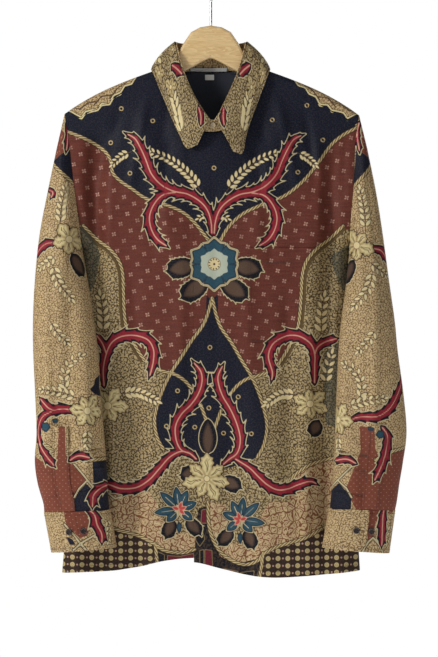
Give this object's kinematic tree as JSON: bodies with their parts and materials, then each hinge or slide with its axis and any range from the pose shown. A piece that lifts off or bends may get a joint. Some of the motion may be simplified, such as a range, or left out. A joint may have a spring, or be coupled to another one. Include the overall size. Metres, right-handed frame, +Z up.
{
  "type": "batik shirt on a wooden hanger",
  "caption": "Men's long-sleeved batik shirt with turned-down collar, chest pocket and barrel cuffs, hanging buttoned on a wooden hanger with a wire hook.",
  "frame": {"origin": "inside top of the hanger's hook, where a rail carries it", "axes": "+Z up, the shirt's front faces -Y, +X to the viewer's right, which is the wearer's left"},
  "size_m": [0.5535, 0.1415, 0.923],
  "materials": {
    "batik_cotton": "fine printed cotton with a soft sheen",
    "neck_tape": "matt pale tape",
    "label": "blank satin label",
    "dark_button": "semi-gloss",
    "pale_button": "gloss",
    "wood": "clear varnish over pale wood",
    "steel_wire": "polished wire"
  },
  "bodies": {
    "root": {"front_right": "batik_cotton", "front_left": "batik_cotton", "back": "batik_cotton", "yoke": "batik_cotton", "sleeve_right": "batik_cotton", "sleeve_left": "batik_cotton", "sleeve_placket_right": "batik_cotton", "sleeve_placket_left": "batik_cotton", "cuff_right": "batik_cotton", "cuff_left": "batik_cotton", "collar_stand": "batik_cotton", "collar": "batik_cotton", "chest_pocket": "batik_cotton", "neck_tape": "neck_tape", "size_label": "label", "collar_button": "pale_button", "cuff_button_right_1": "dark_button", "cuff_button_right_2": "dark_button", "cuff_button_left_1": "dark_button", "cuff_button_left_2": "dark_button", "hanger": "wood", "hanger_hook": "steel_wire"}
  },
  "joints": []
}
